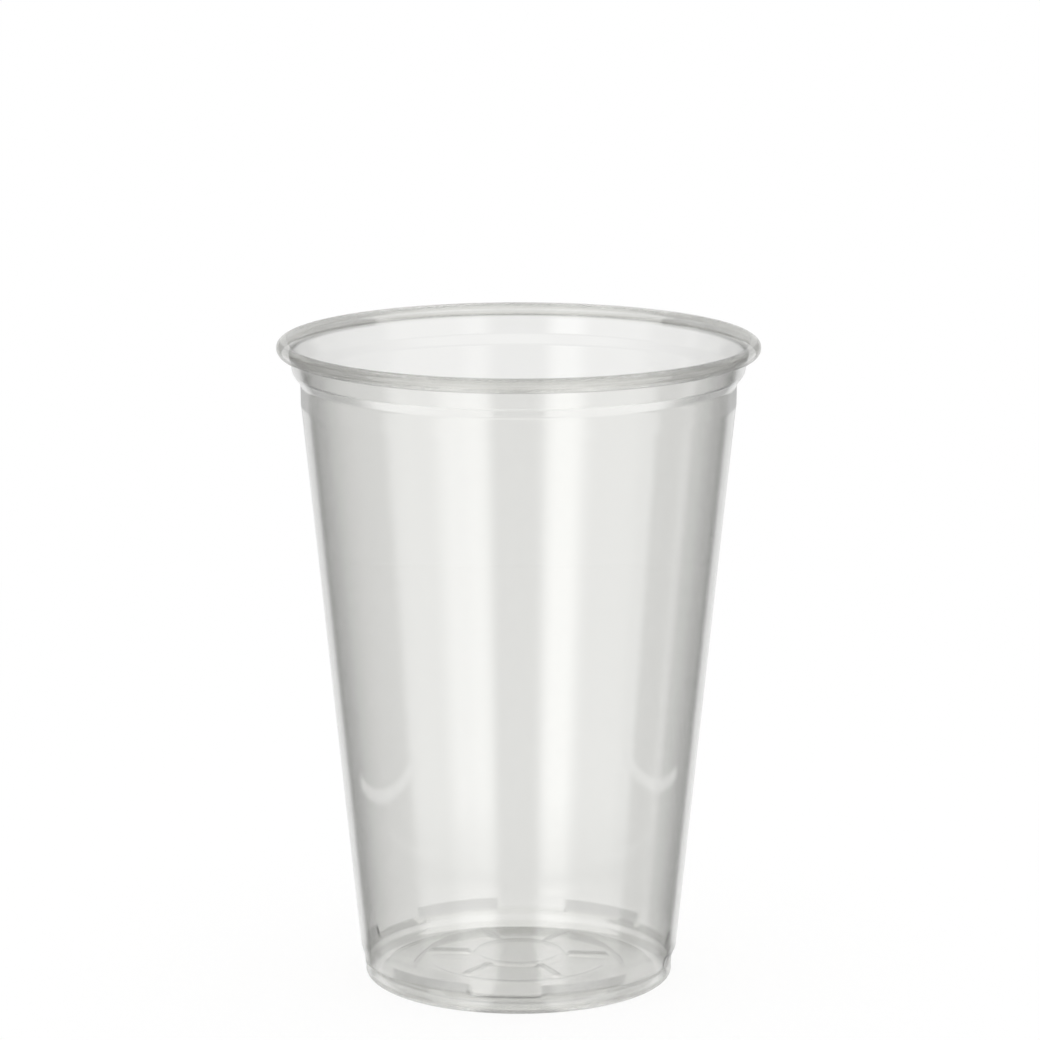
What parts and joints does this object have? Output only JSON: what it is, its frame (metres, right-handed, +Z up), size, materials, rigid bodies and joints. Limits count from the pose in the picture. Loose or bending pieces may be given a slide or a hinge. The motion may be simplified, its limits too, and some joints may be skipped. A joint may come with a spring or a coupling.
{
  "type": "disposable clear plastic cup",
  "caption": "Tapered clear thermoformed drinking cup with a rolled rim, a flared neck, a lugged stacking step and a ribbed base.",
  "frame": {"origin": "middle of the standing ring, on the surface that the cup stands on", "axes": "+Z up along the cup's axis to the open rim; +X to the right and +Y away, as the picture shows it"},
  "size_m": [0.073, 0.073, 0.0988],
  "materials": {
    "clear_plastic": "clear and glossy, see-through"
  },
  "bodies": {
    "root": {"cup": "clear_plastic"}
  },
  "joints": []
}
